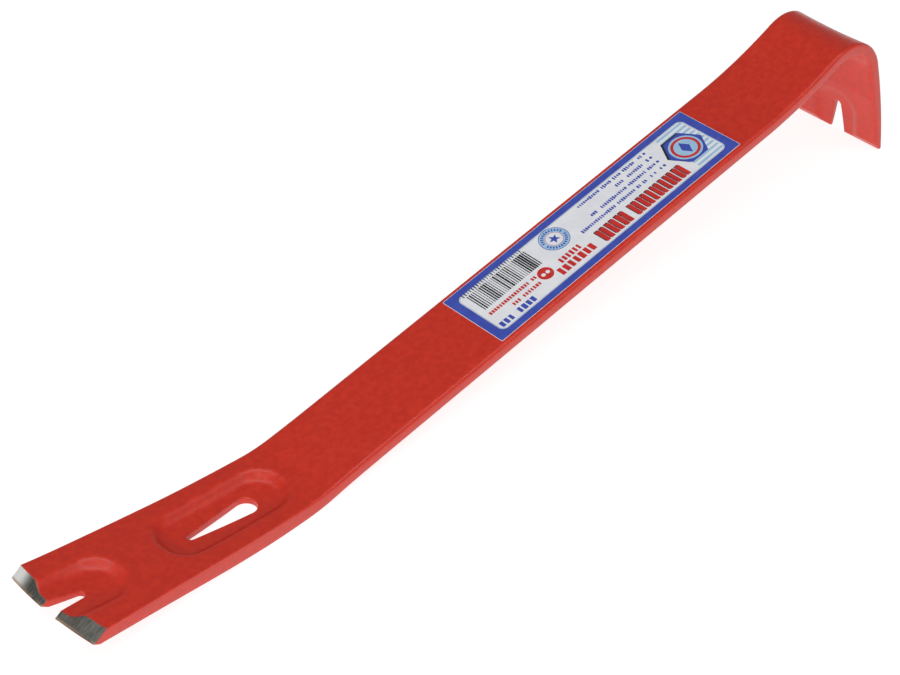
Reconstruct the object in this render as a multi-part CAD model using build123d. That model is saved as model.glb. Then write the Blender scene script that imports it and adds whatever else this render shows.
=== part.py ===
from build123d import *
import math
import os

os.makedirs("parts", exist_ok=True)

# Flat utility pry bar: one forged steel bar with an adhesive label on its shank.
# Millimetres, +Z up. The bar lies as it rests on a bench, on the bend of its claw end and on the
# tips of its hook, with the claw at -X, the hook at +X and the bar symmetrical about Y = 0.
#
# The shape is drawn along the middle of the upper face, by its arc length s. s = 0 is where the
# straight shank begins, next to the claw; the claw is at negative s.

# ---- side profile ------------------------------------------------------------------------------
CLAW_TIP_RUN = 20.6        # slight upward curl at the cutting edge
CLAW_TIP_TURN = 2.5        # degrees
CLAW_FLAT_RUN = 30.0
CLAW_SWEEP_RUN = 38.0      # slow curve past the nail slot
CLAW_SWEEP_TURN = 4.0
HEEL_RUN = 12.0            # bend between the claw and the shank
HEEL_TURN = 12.0
SHANK_RUN = 214.2
RISE_RUN = 40.3            # the bar climbs before it rolls over into the hook
RISE_TURN = 13.8
HUMP_RUN = 32.5            # tight roll-over
HUMP_TURN = 101.0
LEG_RUN = 40.4             # hook leg, curling slightly inward
LEG_TURN = 12.4

# ---- cross-section -----------------------------------------------------------------------------
SHANK_WIDTH = 32.7
CLAW_WIDTH = 40.2          # at the cutting edge
FLARE_START = 25.0         # s where the claw end begins to widen
HOOK_WIDTH = 41.0          # at the hook tips
SHANK_THICKNESS = 5.2
SLOT_THICKNESS = 6.1       # thickest, at the nail slot
CLAW_TIP_THICKNESS = 4.9
HOOK_TIP_THICKNESS = 2.7
HOOK_THINNING = 25.0       # length over which the hook thins to its tips
SHANK_EDGE_RADIUS = 1.3    # rounded edges of the shank and the hump
CLAW_EDGE_RADIUS = 0.35
HOOK_EDGE_RADIUS = 0.8

# ---- claw features -----------------------------------------------------------------------------
CLAW_NOTCH_MOUTH = 6.8
CLAW_NOTCH_ROOT_RADIUS = 1.6
CLAW_NOTCH_DEPTH = 13.6
EDGE_BOW_RADIUS = 141.0    # the cutting edge is slightly convex
BEVEL_RUN = 5.0            # ground bevel on the upper face
BEVEL_DEPTH = 3.5
UNDERCUT_RUN = 2.6         # small relief under the cutting edge
CLAW_RECESS_WIDTH = 21.0
CLAW_RECESS_REACH = 27.0   # from the cutting edge
CLAW_RECESS_DEPTH = 2.4

# ---- nail slot ---------------------------------------------------------------------------------
SLOT_ROUND_RADIUS = 4.0
SLOT_ROUND_S = -23.5
SLOT_NARROW_RADIUS = 1.4
SLOT_NARROW_S = -45.6
SLOT_RECESS_WIDTH = 20.6
SLOT_RECESS_ENDS = (-57.6, -8.8)
SLOT_RECESS_DEPTH = 3.2
RECESS_CORNER_RADIUS = 9.0
RECESS_WALL_ANGLE = 42.0   # from the vertical
RECESS_FLOOR_RADIUS = 2.0

# ---- hook features -----------------------------------------------------------------------------
HOOK_NOTCH_MOUTH = 6.7
HOOK_NOTCH_ROOT_RADIUS = 1.5
HOOK_NOTCH_DEPTH = 14.6
HOOK_RECESS_WIDTH = 19.2
HOOK_RECESS_REACH = 20.8
HOOK_RECESS_DEPTH = 1.2
HOOK_BEVEL_RUN = 2.4       # chisel edge on the inner face of the tips
HOOK_EDGE_THICKNESS = 1.1

# ---- label -------------------------------------------------------------------------------------
LABEL_LENGTH = 122.3
LABEL_WIDTH = 28.9
LABEL_MIDDLE = 140.8       # s of its middle
LABEL_THICKNESS = 0.15
LABEL_CORNER_RADIUS = 0.5

CLAW_RUN = CLAW_TIP_RUN + CLAW_FLAT_RUN + CLAW_SWEEP_RUN + HEEL_RUN
RISE_S = SHANK_RUN
HUMP_S = RISE_S + RISE_RUN
LEG_S = HUMP_S + HUMP_RUN
END_S = LEG_S + LEG_RUN
OVERRUN = 3.0              # stock past each end, trimmed off later

# (length, turn in degrees) from the shank outward; a positive turn is upward
CLAW_CHAIN = [(HEEL_RUN, HEEL_TURN), (CLAW_SWEEP_RUN, CLAW_SWEEP_TURN), (CLAW_FLAT_RUN, 0.0),
              (CLAW_TIP_RUN, CLAW_TIP_TURN), (OVERRUN, 0.0)]
HOOK_CHAIN = [(SHANK_RUN, 0.0), (RISE_RUN, RISE_TURN), (HUMP_RUN, -HUMP_TURN),
              (LEG_RUN, -LEG_TURN), (OVERRUN, 0.0)]


def smoothstep(value, low, high):
    """0 below low, 1 above high and a smooth ramp between."""
    u = min(1.0, max(0.0, (value - low) / (high - low)))
    return u * u * (3.0 - 2.0 * u)


def walk(chain, distance):
    """Point and heading reached after a distance along straight runs and arcs."""
    x, z, heading, left = 0.0, 0.0, 0.0, distance
    for run, turn in chain:
        step = min(left, run)
        if step <= 0.0:
            break
        bend = math.radians(turn) * step / run
        if bend:
            radius = step / bend
            x += radius * (math.sin(heading + bend) - math.sin(heading))
            z += radius * (math.cos(heading) - math.cos(heading + bend))
        else:
            x += step * math.cos(heading)
            z += step * math.sin(heading)
        heading += bend
        left -= step
    return x, z, heading


def station(s):
    """x, z and heading (radians, toward the hook) of the upper face at s."""
    if s < 0.0:
        x, z, rise = walk(CLAW_CHAIN, -s)
        return -x, z, -rise
    return walk(HOOK_CHAIN, s)


def thickness(s):
    """Bar thickness at s."""
    if s > 0.5 * SHANK_RUN:
        return SHANK_THICKNESS + (HOOK_TIP_THICKNESS - SHANK_THICKNESS) * min(
            1.0, max(0.0, (s - END_S + HOOK_THINNING) / HOOK_THINNING))
    toward_slot = smoothstep(-s, -8.0, 32.0)
    toward_tip = smoothstep(-s, 38.0, CLAW_RUN)
    claw = SLOT_THICKNESS + (CLAW_TIP_THICKNESS - SLOT_THICKNESS) * toward_tip
    return SHANK_THICKNESS + (claw - SHANK_THICKNESS) * toward_slot


def width(s):
    """Bar width at s: parallel shank, both ends flared."""
    if s < FLARE_START:
        share = (FLARE_START - s) / (FLARE_START + CLAW_RUN)
        return SHANK_WIDTH + (CLAW_WIDTH - SHANK_WIDTH) * share ** 2
    share = max(0.0, (s - HUMP_S) / (END_S - HUMP_S))
    return SHANK_WIDTH + (HOOK_WIDTH - SHANK_WIDTH) * share ** 1.4


def edge_radius(s):
    """Radius of the four long edges at s."""
    if s > LEG_S:
        return SHANK_EDGE_RADIUS + (HOOK_EDGE_RADIUS - SHANK_EDGE_RADIUS) * smoothstep(s, LEG_S, END_S)
    return CLAW_EDGE_RADIUS + (SHANK_EDGE_RADIUS - CLAW_EDGE_RADIUS) * smoothstep(s, -30.0, 14.0)


def section(s):
    """Rounded cross-section of the bar at s."""
    x, z, heading = station(s)
    half = 0.5 * thickness(s)
    middle = (x + half * math.sin(heading), 0.0, z - half * math.cos(heading))
    along = (math.cos(heading), 0.0, math.sin(heading))
    plane = Plane(origin=middle, x_dir=(0, 1, 0), z_dir=along)
    return plane * RectangleRounded(width(s), 2.0 * half, edge_radius(s))


def face_plane(s, depth=0.0):
    """Plane on the upper face at s, sunk by depth: local x along the bar, z out of the face."""
    x, z, heading = station(s)
    up = (-math.sin(heading), 0.0, math.cos(heading))
    origin = (x - depth * up[0], 0.0, z - depth * up[2])
    return Plane(origin=origin, x_dir=(math.cos(heading), 0.0, math.sin(heading)), z_dir=up)


def spread(low, high, count):
    """Evenly spaced values from low to high."""
    return [low + (high - low) * i / (count - 1) for i in range(count)]


def forged_blank():
    """Bar with its bends, taper, flare and rounded edges, before the ends are worked."""
    claw = loft([section(s) for s in spread(-CLAW_RUN - OVERRUN, FLARE_START, 20)])
    shank = loft([section(FLARE_START), section(RISE_S - 2.0)], ruled=True)
    rise = loft([section(s) for s in spread(RISE_S - 2.0, HUMP_S, 8)])
    hump = loft([section(s) for s in spread(HUMP_S, LEG_S, 11)])
    leg = loft([section(s) for s in spread(LEG_S, END_S + OVERRUN, 9)])
    return claw + shank + rise + hump + leg


def tapered_notch(mouth, root_radius, depth, plane, direction):
    """Cutter for a nail notch; the plane's origin is the middle of the mouth."""
    reach = depth - root_radius
    flat = make_hull([
        *(Pos(direction * reach, 0) * Circle(root_radius)).edges(),
        *(Pos(-direction * OVERRUN, 0) * Rectangle(0.2, mouth + 0.8)).edges(),
    ])
    return extrude(plane * flat, amount=12.0, both=True)


def coined_recess(length, breadth, depth, plane):
    """Cutter for a pressed recess with sloped walls; the plane lies on the recess floor."""
    spill = 3.0
    slope = math.tan(math.radians(RECESS_WALL_ANGLE))
    floor = RectangleRounded(length - 2 * depth * slope, breadth - 2 * depth * slope,
                             RECESS_CORNER_RADIUS - depth * slope)
    block = extrude(plane * floor, amount=depth + spill, taper=-RECESS_WALL_ANGLE)
    rim = block.faces().sort_by(Axis(plane.origin, plane.z_dir))[0].edges()
    return fillet(rim, RECESS_FLOOR_RADIUS)


def claw_cutters():
    """Everything removed from the claw end."""
    tip = -CLAW_RUN
    cutters = [tapered_notch(CLAW_NOTCH_MOUTH, CLAW_NOTCH_ROOT_RADIUS, CLAW_NOTCH_DEPTH,
                             face_plane(tip), 1)]
    # pressed recess around the notch, open at the cutting edge
    length = CLAW_RECESS_REACH + 16.0
    middle = tip + CLAW_RECESS_REACH - 0.5 * length
    sink = face_plane(tip + 10.0, CLAW_RECESS_DEPTH)
    sink.origin += sink.x_dir * (middle - tip - 10.0)
    cutters.append(coined_recess(length, CLAW_RECESS_WIDTH, CLAW_RECESS_DEPTH, sink))
    # nail slot and the recess around it
    start, end = SLOT_RECESS_ENDS
    middle = 0.5 * (start + end)
    cutters.append(coined_recess(end - start, SLOT_RECESS_WIDTH, SLOT_RECESS_DEPTH,
                                 face_plane(middle, SLOT_RECESS_DEPTH)))
    drop = make_hull([
        *(Pos(SLOT_ROUND_S - middle, 0) * Circle(SLOT_ROUND_RADIUS)).edges(),
        *(Pos(SLOT_NARROW_S - middle, 0) * Circle(SLOT_NARROW_RADIUS)).edges(),
    ])
    cutters.append(extrude(face_plane(middle) * drop, amount=15.0, both=True))
    # ground bevel above the cutting edge and a small relief below it
    edge = face_plane(tip, 0.0)
    t = CLAW_TIP_THICKNESS
    side = Plane(origin=edge.origin, x_dir=edge.x_dir, z_dir=(0, -1, 0))
    above = Polyline((BEVEL_RUN, 0), (0, -BEVEL_DEPTH), (-6, -BEVEL_DEPTH - 0.1), (-6, 4),
                     (BEVEL_RUN * (1 + 4 / BEVEL_DEPTH), 4), close=True)
    below = Polyline((UNDERCUT_RUN, -t), (0, -BEVEL_DEPTH - 0.1), (-6, -BEVEL_DEPTH - 0.1), (-6, -t - 3),
                     (UNDERCUT_RUN, -t - 3), close=True)
    for outline in (above, below):
        cutters.append(extrude(side * make_face(outline), amount=30.0, both=True))
    # convex cutting edge
    bow = Pos(EDGE_BOW_RADIUS, 0) * Circle(EDGE_BOW_RADIUS)
    ahead = Pos(-8, 0) * Rectangle(40, 60) - bow
    cutters.append(extrude(edge * ahead, amount=15.0, both=True))
    return cutters


def hook_cutters():
    """Everything removed from the hook end."""
    edge = face_plane(END_S)
    t = HOOK_TIP_THICKNESS
    cutters = [tapered_notch(HOOK_NOTCH_MOUTH, HOOK_NOTCH_ROOT_RADIUS, HOOK_NOTCH_DEPTH, edge, -1)]
    # stock past the tips
    square = edge * (Pos(0.5 * OVERRUN + 2.0, 0) * Rectangle(OVERRUN + 4.0, 60.0))
    cutters.append(extrude(square, amount=15.0, both=True))
    # chisel edge on the inner face
    side = Plane(origin=edge.origin, x_dir=edge.x_dir, z_dir=(0, -1, 0))
    chisel = Polyline((-HOOK_BEVEL_RUN, -t), (0, -HOOK_EDGE_THICKNESS), (4, -HOOK_EDGE_THICKNESS),
                      (4, -t - 3), (-HOOK_BEVEL_RUN, -t - 3), close=True)
    cutters.append(extrude(side * make_face(chisel), amount=30.0, both=True))
    # pressed recess around the notch, on the inner face
    length = HOOK_RECESS_REACH + 16.0
    s = END_S - 12.0
    inner = face_plane(s, thickness(s) - HOOK_RECESS_DEPTH)
    flipped = Plane(origin=inner.origin, x_dir=inner.x_dir, z_dir=-inner.z_dir)
    lean = math.degrees(math.atan((SHANK_THICKNESS - HOOK_TIP_THICKNESS) / HOOK_THINNING))
    flipped = flipped.rotated((0, -lean, 0))
    flipped.origin += flipped.x_dir * (END_S - HOOK_RECESS_REACH + 0.5 * length - s)
    cutters.append(coined_recess(length, HOOK_RECESS_WIDTH, HOOK_RECESS_DEPTH, flipped))
    return cutters


def resting_tilt(solid):
    """Angle of the shank to the bench when the bar lies on its heel and its hook tips."""
    tip = solid.vertices().sort_by(Axis.Z)[0]
    steepest = -1.0
    for s in spread(-30.0, 10.0, 401):
        x, z, heading = station(s)
        x += thickness(s) * math.sin(heading)
        z -= thickness(s) * math.cos(heading)
        steepest = max(steepest, (z - tip.Z) / (x - tip.X))
    return math.degrees(math.atan(-steepest))


bar = forged_blank()
for cutter in claw_cutters() + hook_cutters():
    bar -= cutter

label_sketch = RectangleRounded(LABEL_LENGTH, LABEL_WIDTH, LABEL_CORNER_RADIUS)
label = extrude(Plane.XY * (Pos(LABEL_MIDDLE, 0) * label_sketch), amount=LABEL_THICKNESS)

rest = Rot(0, -resting_tilt(bar), 0)
box = (rest * bar).bounding_box()
rest = Pos(-0.5 * (box.min.X + box.max.X), 0, -box.min.Z) * rest

if __name__ == "__main__":
    export_step(rest * bar, "parts/forged_bar.step")
    export_step(rest * label, "parts/label.step")
    final = (rest * bar).bounding_box()
    print("tilt", round(resting_tilt(bar), 4), "size", final.size, "volume", round(bar.volume, 1))
    print("solids", len(bar.solids()), "valid", bar.is_valid)
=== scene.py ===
"""Looks of a flat utility pry bar: a forged, enamelled steel bar with a printed label on its shank.

The bar's shape is worked out in the flat first: s runs along the bar from the start of the straight
shank (the claw is at negative s), y runs across it and depth is measured down from the upper face.
lift() then bends that flat drawing along the bar's side profile and lays it down on the bench.
"""

import math

import bmesh
import bpy
import numpy as np
from mathutils import Matrix, Vector, noise
from mathutils.geometry import delaunay_2d_cdt


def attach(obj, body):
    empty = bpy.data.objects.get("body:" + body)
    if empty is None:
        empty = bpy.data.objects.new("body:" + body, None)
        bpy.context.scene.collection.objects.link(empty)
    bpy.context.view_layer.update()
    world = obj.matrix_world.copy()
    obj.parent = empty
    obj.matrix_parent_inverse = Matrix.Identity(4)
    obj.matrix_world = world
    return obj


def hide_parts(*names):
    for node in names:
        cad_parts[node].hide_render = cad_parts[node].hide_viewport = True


MM = 0.001

# ---- the bar's side profile, in millimetres and degrees -----------------------------------------
CLAW_TIP_RUN, CLAW_TIP_TURN = 20.6, 2.5
CLAW_FLAT_RUN = 30.0
CLAW_SWEEP_RUN, CLAW_SWEEP_TURN = 38.0, 4.0
HEEL_RUN, HEEL_TURN = 12.0, 12.0
SHANK_RUN = 214.2
RISE_RUN, RISE_TURN = 40.3, 13.8
HUMP_RUN, HUMP_TURN = 32.5, 101.0
LEG_RUN, LEG_TURN = 40.4, 12.4
CLAW_RUN = CLAW_TIP_RUN + CLAW_FLAT_RUN + CLAW_SWEEP_RUN + HEEL_RUN
HUMP_S = SHANK_RUN + RISE_RUN
LEG_S = HUMP_S + HUMP_RUN
END_S = LEG_S + LEG_RUN

PROFILE_STEP = 0.1
PAST_ENDS = 6.0             # how far the profile is carried on beyond both ends

# ---- how the bar lies on the bench --------------------------------------------------------------
SHANK_TILT = 9.5026
SHANK_START = (-89.4209, 0.0, 6.3840)

# ---- cross-section ------------------------------------------------------------------------------
SHANK_WIDTH, CLAW_WIDTH, HOOK_WIDTH = 32.7, 40.2, 41.0
FLARE_START = 25.0          # the claw end widens from here
SHANK_THICKNESS, SLOT_THICKNESS = 5.2, 6.1
CLAW_TIP_THICKNESS, HOOK_TIP_THICKNESS = 4.9, 2.7
HOOK_THINNING = 25.0        # run over which the hook thins to its tip
SHANK_EDGE_RADIUS, CLAW_EDGE_RADIUS, HOOK_EDGE_RADIUS = 1.3, 0.35, 0.8

# ---- worked features ----------------------------------------------------------------------------
CLAW_NOTCH = {"mouth": 3.4, "root_radius": 1.6, "depth": 13.6}
HOOK_NOTCH = {"mouth": 3.35, "root_radius": 1.5, "depth": 14.6}
EDGE_BOW_RADIUS, EDGE_SKEW = 141.0, 0.0287
BEVEL_DEPTH = 3.5
BEVEL_RUN_FAR, BEVEL_RUN_NEAR = 3.5, 5.0
UNDERCUT_RUN, UNDERCUT_RISE = 2.6, 1.3
SLOT_ROUND_S, SLOT_ROUND_RADIUS = -23.5, 4.0
SLOT_NARROW_S, SLOT_NARROW_RADIUS = -45.6, 1.4
SLOT_RECESS = {"s": (-57.6, -8.8), "half_width": 10.3, "corner": 9.4, "crest": 1.7,
               "wall": 3.2, "wall_depth": 2.0, "dish": 9.0, "dish_depth": 1.3}
CLAW_RECESS = {"s": (-130.0, -73.6), "half_width": 10.5, "corner": 9.4, "crest": 1.7,
               "wall": 3.6, "wall_depth": 1.8, "dish": 9.0, "dish_depth": 1.2}
HOOK_RECESS = {"s": (END_S - 20.8, END_S + 30.0), "half_width": 9.6, "corner": 9.4, "crest": 1.2,
               "wall": 2.6, "wall_depth": 1.0, "dish": 9.0, "dish_depth": 0.3}
TINE_RELIEF = 0.38          # share of its depth that the claw recess loses by the cutting edge
HOOK_BEVEL_RUN, HOOK_EDGE_THICKNESS = 2.4, 1.1
HUMP_SADDLE = 0.5           # hollow across the outside of the hump
PAINT_EDGE = 0.3            # radius that the enamel gives the edges of notches and slot

# ---- label --------------------------------------------------------------------------------------
LABEL_LENGTH, LABEL_WIDTH, LABEL_MIDDLE = 122.3, 28.9, 140.8
FILM, INK = 0.10, 0.018     # thickness of the film and of one pass of ink
FRAME_END, FRAME_SIDE = 3.6, 2.9
CORNER_STEPS = 6
PRINT_ROUGHNESS = 0.42


# ================================ flat drawing to resting bar ====================================

def smoothstep(value, low, high):
    """0 below low, 1 above high and a smooth ramp between."""
    u = np.clip((np.asarray(value, float) - low) / (high - low), 0.0, 1.0)
    return u * u * (3.0 - 2.0 * u)


def side_profile():
    """Table of s, x, z and heading along the middle of the upper face, in 0.1 mm steps."""
    def walk(chain, length):
        steps = int(round(length / PROFILE_STEP))
        s = np.linspace(0.0, length, steps + 1)
        ends = np.cumsum([0.0] + [run for run, _ in chain])
        turns = np.cumsum([0.0] + [math.radians(turn) for _, turn in chain])
        heading = np.interp(s, ends, turns)
        middle = 0.5 * (heading[1:] + heading[:-1])
        ds = np.diff(s)
        x = np.concatenate([[0.0], np.cumsum(ds * np.cos(middle))])
        z = np.concatenate([[0.0], np.cumsum(ds * np.sin(middle))])
        return s, x, z, heading

    claw = walk([(HEEL_RUN, HEEL_TURN), (CLAW_SWEEP_RUN, CLAW_SWEEP_TURN), (CLAW_FLAT_RUN, 0.0),
                 (CLAW_TIP_RUN, CLAW_TIP_TURN), (PAST_ENDS, 0.0)], CLAW_RUN + PAST_ENDS)
    hook = walk([(SHANK_RUN, 0.0), (RISE_RUN, RISE_TURN), (HUMP_RUN, -HUMP_TURN),
                 (LEG_RUN, -LEG_TURN), (PAST_ENDS, 0.0)], END_S + PAST_ENDS)
    mirror = (-1.0, -1.0, 1.0, -1.0)      # the claw is walked backwards
    return tuple(np.concatenate([sign * part[:0:-1], other])
                 for sign, part, other in zip(mirror, claw, hook))


PROFILE = side_profile()


def lift(s, y, depth):
    """Points of the flat drawing, in millimetres, to the resting bar, in metres."""
    s, y, depth = np.broadcast_arrays(np.asarray(s, float), y, depth)
    heading = np.interp(s, PROFILE[0], PROFILE[3])
    x = np.interp(s, PROFILE[0], PROFILE[1]) + depth * np.sin(heading)
    z = np.interp(s, PROFILE[0], PROFILE[2]) - depth * np.cos(heading)
    tilt = math.radians(SHANK_TILT)
    return MM * np.stack([SHANK_START[0] + x * math.cos(tilt) - z * math.sin(tilt),
                          SHANK_START[1] + y,
                          SHANK_START[2] + x * math.sin(tilt) + z * math.cos(tilt)], axis=-1)


def thickness(s):
    """Bar thickness at s."""
    s = np.asarray(s, float)
    hook = SHANK_THICKNESS + (HOOK_TIP_THICKNESS - SHANK_THICKNESS) * np.clip(
        (s - END_S + HOOK_THINNING) / HOOK_THINNING, 0.0, 1.0)
    claw = SLOT_THICKNESS + (CLAW_TIP_THICKNESS - SLOT_THICKNESS) * smoothstep(-s, 38.0, CLAW_RUN)
    claw = SHANK_THICKNESS + (claw - SHANK_THICKNESS) * smoothstep(-s, -8.0, 32.0)
    return np.where(s > 0.5 * SHANK_RUN, hook, claw)


def half_width(s):
    """Half of the bar's width at s: parallel shank, both ends flared."""
    s = np.asarray(s, float)
    claw = np.clip((FLARE_START - s) / (FLARE_START + CLAW_RUN), 0.0, None) ** 2
    hook = np.clip((s - HUMP_S) / (END_S - HUMP_S), 0.0, None) ** 1.4
    return 0.5 * (SHANK_WIDTH + (CLAW_WIDTH - SHANK_WIDTH) * claw
                  + (HOOK_WIDTH - SHANK_WIDTH) * hook)


def edge_radius(s):
    """Radius of the long edges at s."""
    claw = CLAW_EDGE_RADIUS + (SHANK_EDGE_RADIUS - CLAW_EDGE_RADIUS) * smoothstep(s, -30.0, 14.0)
    return claw + (HOOK_EDGE_RADIUS - SHANK_EDGE_RADIUS) * smoothstep(s, LEG_S, END_S)


def edge_reach(s, y):
    """Distance from the bowed cutting edge of the claw."""
    return s + CLAW_RUN - y ** 2 / (2.0 * EDGE_BOW_RADIUS) + EDGE_SKEW * y


def pressed(s, y, recess):
    """Depth of a pressed recess: a rounded crest, a soft wall and a slightly dished floor."""
    low, high = recess["s"]
    corner = recess["corner"]
    ds = np.abs(s - 0.5 * (low + high)) - (0.5 * (high - low) - corner)
    dy = np.abs(y) - (recess["half_width"] - corner)
    outside = np.hypot(np.maximum(ds, 0.0), np.maximum(dy, 0.0))
    within = corner - outside - np.minimum(np.maximum(ds, dy), 0.0)
    wall = recess["wall_depth"] * smoothstep(within, -recess["crest"], recess["wall"])
    dish = 1.0 - np.clip(within / recess["dish"], 0.0, 1.0)
    return wall + recess["dish_depth"] * (1.0 - dish ** 2)


def bevel_depth(s, y):
    """Depth of the ground bevel above the cutting edge; negative where it hasn't cut in."""
    run = BEVEL_RUN_NEAR + (BEVEL_RUN_FAR - BEVEL_RUN_NEAR) * smoothstep(y, -3.0, 3.0)
    u = 1.0 - edge_reach(s, y) / run
    bulge = 0.10 + 0.30 * smoothstep(y, -3.0, 3.0)
    return BEVEL_DEPTH * (u + bulge * u * (1.0 - u))


def upper_depth(s, y):
    """Depth of the finished upper face below the plain one, without the bevel."""
    across = np.clip(1.0 - (y / half_width(s)) ** 2, 0.0, 1.0)
    hump = (smoothstep(s, HUMP_S - 22.0, HUMP_S + 6.0)
            * (1.0 - smoothstep(s, LEG_S - 8.0, LEG_S + 16.0)))
    claw = pressed(s, y, CLAW_RECESS) * (1.0 - TINE_RELIEF * smoothstep(-s, 84.0, CLAW_RUN))
    return pressed(s, y, SLOT_RECESS) + claw + HUMP_SADDLE * across * hump


def lower_depth(s, y):
    """Depth of the finished under face, or inner face of the hook."""
    relief = UNDERCUT_RISE * np.clip(1.0 - edge_reach(s, y) / UNDERCUT_RUN, 0.0, 1.0)
    plain = thickness(s) - relief - pressed(s, y, HOOK_RECESS)
    rise = (HOOK_TIP_THICKNESS - HOOK_EDGE_THICKNESS) * (END_S - s) / HOOK_BEVEL_RUN
    chisel = HOOK_EDGE_THICKNESS + rise
    return np.minimum(plain, np.maximum(chisel, HOOK_EDGE_THICKNESS))


def forging_waves(s, y, seed):
    """Slight unevenness of a hammered and coated surface, in millimetres."""
    shift = Vector((seed, -seed, 0.5 * seed))
    return np.array([0.045 * noise.noise(Vector((a / 17.0, b / 13.0, 0.0)) + shift)
                     + 0.016 * noise.noise(Vector((a / 6.0, b / 5.0, 3.0)) + shift)
                     for a, b in zip(s, y)])


# ===================================== outline of the bar ========================================

def rounded(points):
    """Closed outline from (s, y, radius) corners; a radius of 0 keeps the point."""
    out = []
    count = len(points)
    for i, (s, y, radius) in enumerate(points):
        here = np.array([s, y])
        if radius <= 0.0:
            out.append(here)
            continue
        back = np.array(points[i - 1][:2]) - here
        ahead = np.array(points[(i + 1) % count][:2]) - here
        back /= np.linalg.norm(back)
        ahead /= np.linalg.norm(ahead)
        half = 0.5 * math.acos(np.clip(back @ ahead, -1.0, 1.0))
        middle = back + ahead
        centre = here + middle / np.linalg.norm(middle) * radius / math.sin(half)
        start = here + back * radius / math.tan(half) - centre
        end = here + ahead * radius / math.tan(half) - centre
        turn = math.atan2(start[0] * end[1] - start[1] * end[0], start @ end)
        for k in range(7):
            angle = turn * k / 6.0
            out.append(centre + [start[0] * math.cos(angle) - start[1] * math.sin(angle),
                                 start[0] * math.sin(angle) + start[1] * math.cos(angle)])
    return out


def spacing(s):
    """Mesh spacing: fine at the two worked ends, coarse on the plain shank."""
    return 0.55 + 1.0 * smoothstep(s, 0.0, 22.0) * (1.0 - smoothstep(s, SHANK_RUN - 5.0, HUMP_S))


def divided(loop):
    """The outline with its long steps split to the mesh spacing."""
    out = []
    for a, b in zip(loop, loop[1:] + loop[:1]):
        pieces = max(1, int(math.ceil(np.linalg.norm(b - a) / float(spacing(0.5 * (a[0] + b[0]))))))
        out.extend(a + (b - a) * k / pieces for k in range(pieces))
    return np.array(out)


def notch_wall(notch, mouth_s, inward):
    """Points of a tapered notch, from its low-y mouth corner round the root to the other corner."""
    reach = notch["depth"] - notch["root_radius"]
    taper = math.atan2(notch["mouth"] - notch["root_radius"], reach)
    points = [(mouth_s, -notch["mouth"], 0.45)]
    for k in range(13):
        angle = -math.pi / 2 + taper + (math.pi - 2 * taper) * k / 12.0
        points.append((mouth_s + inward * (reach + notch["root_radius"] * math.cos(angle)),
                       notch["root_radius"] * math.sin(angle), 0.0))
    points.append((mouth_s, notch["mouth"], 0.45))
    return points


def bar_outline():
    """Outer outline, counter-clockwise."""
    def bowed(y):
        return -CLAW_RUN + y ** 2 / (2.0 * EDGE_BOW_RADIUS) - EDGE_SKEW * y

    half_claw = float(half_width(-CLAW_RUN))
    half_hook = float(half_width(END_S))
    side = [(s, float(half_width(s))) for s in np.arange(-CLAW_RUN + 6.0, END_S - 2.0, 3.0)]
    points = [(bowed(-half_claw), -half_claw, 0.8)]
    points += [(s, -half, 0.0) for s, half in side]
    points += [(END_S, -half_hook, 1.0)]
    points += notch_wall(HOOK_NOTCH, END_S, -1)
    points += [(END_S, half_hook, 1.0)]
    points += [(s, half, 0.0) for s, half in reversed(side)]
    points += [(bowed(half_claw), half_claw, 0.8)]
    across = np.arange(5.5, half_claw - 2.0, 2.0)
    points += [(bowed(y), y, 0.0) for y in reversed(across)]
    points += [(s, y, r) for s, y, r in reversed(notch_wall(CLAW_NOTCH, bowed(3.4), 1))]
    points += [(bowed(-y), -y, 0.0) for y in across]
    return divided(rounded(points))


def slot_outline():
    """Teardrop nail slot, clockwise."""
    run = SLOT_ROUND_S - SLOT_NARROW_S
    lean = math.asin((SLOT_ROUND_RADIUS - SLOT_NARROW_RADIUS) / run)
    points = []
    for k in range(29):
        angle = math.pi / 2 + lean - (math.pi + 2 * lean) * k / 28.0
        points.append(np.array([SLOT_ROUND_S + SLOT_ROUND_RADIUS * math.cos(angle),
                                SLOT_ROUND_RADIUS * math.sin(angle)]))
    for k in range(15):
        angle = -math.pi / 2 - lean - (math.pi - 2 * lean) * k / 14.0
        points.append(np.array([SLOT_NARROW_S + SLOT_NARROW_RADIUS * math.cos(angle),
                                SLOT_NARROW_RADIUS * math.sin(angle)]))
    return divided(points)


def inward(loop):
    """Unit directions from an outline into the metal, which lies on its left."""
    along = loop - np.roll(loop, 1, axis=0)
    along /= np.linalg.norm(along, axis=1)[:, None]
    ahead = np.roll(along, -1, axis=0)
    left = np.stack([-(along + ahead)[:, 1], (along + ahead)[:, 0]], axis=1)
    return left / np.linalg.norm(left, axis=1)[:, None]


def inside(points, loops):
    """Even-odd test of points against a set of closed outlines."""
    hits = np.zeros(len(points), bool)
    for loop in loops:
        for a, b in zip(loop, np.roll(loop, -1, axis=0)):
            if a[1] == b[1]:
                continue
            crosses = (points[:, 1] < a[1]) != (points[:, 1] < b[1])
            at = a[0] + (points[:, 1] - a[1]) * (b[0] - a[0]) / (b[1] - a[1])
            hits ^= crosses & (points[:, 0] < at)
    return hits


def clearance(points, loops):
    """Distance from each point to the nearest outline point."""
    every = np.concatenate(loops)
    return np.array([np.min(np.hypot(every[:, 0] - p[0], every[:, 1] - p[1])) for p in points])


def field_points(loops):
    """Staggered grid of points over the bar's face, clear of its outlines."""
    rows, s, shifted = [], -CLAW_RUN, False
    while s < END_S:
        step = float(spacing(s))
        half = float(half_width(s))
        y = np.arange(-half + (0.5 * step if shifted else 0.0), half, step)
        rows.append(np.stack([np.full_like(y, s), y], axis=1))
        s += 0.87 * step
        shifted = not shifted
    points = np.concatenate(rows)
    points = points[inside(points, loops)]
    return points[clearance(points, loops) > 0.6 * spacing(points[:, 0])]


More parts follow.
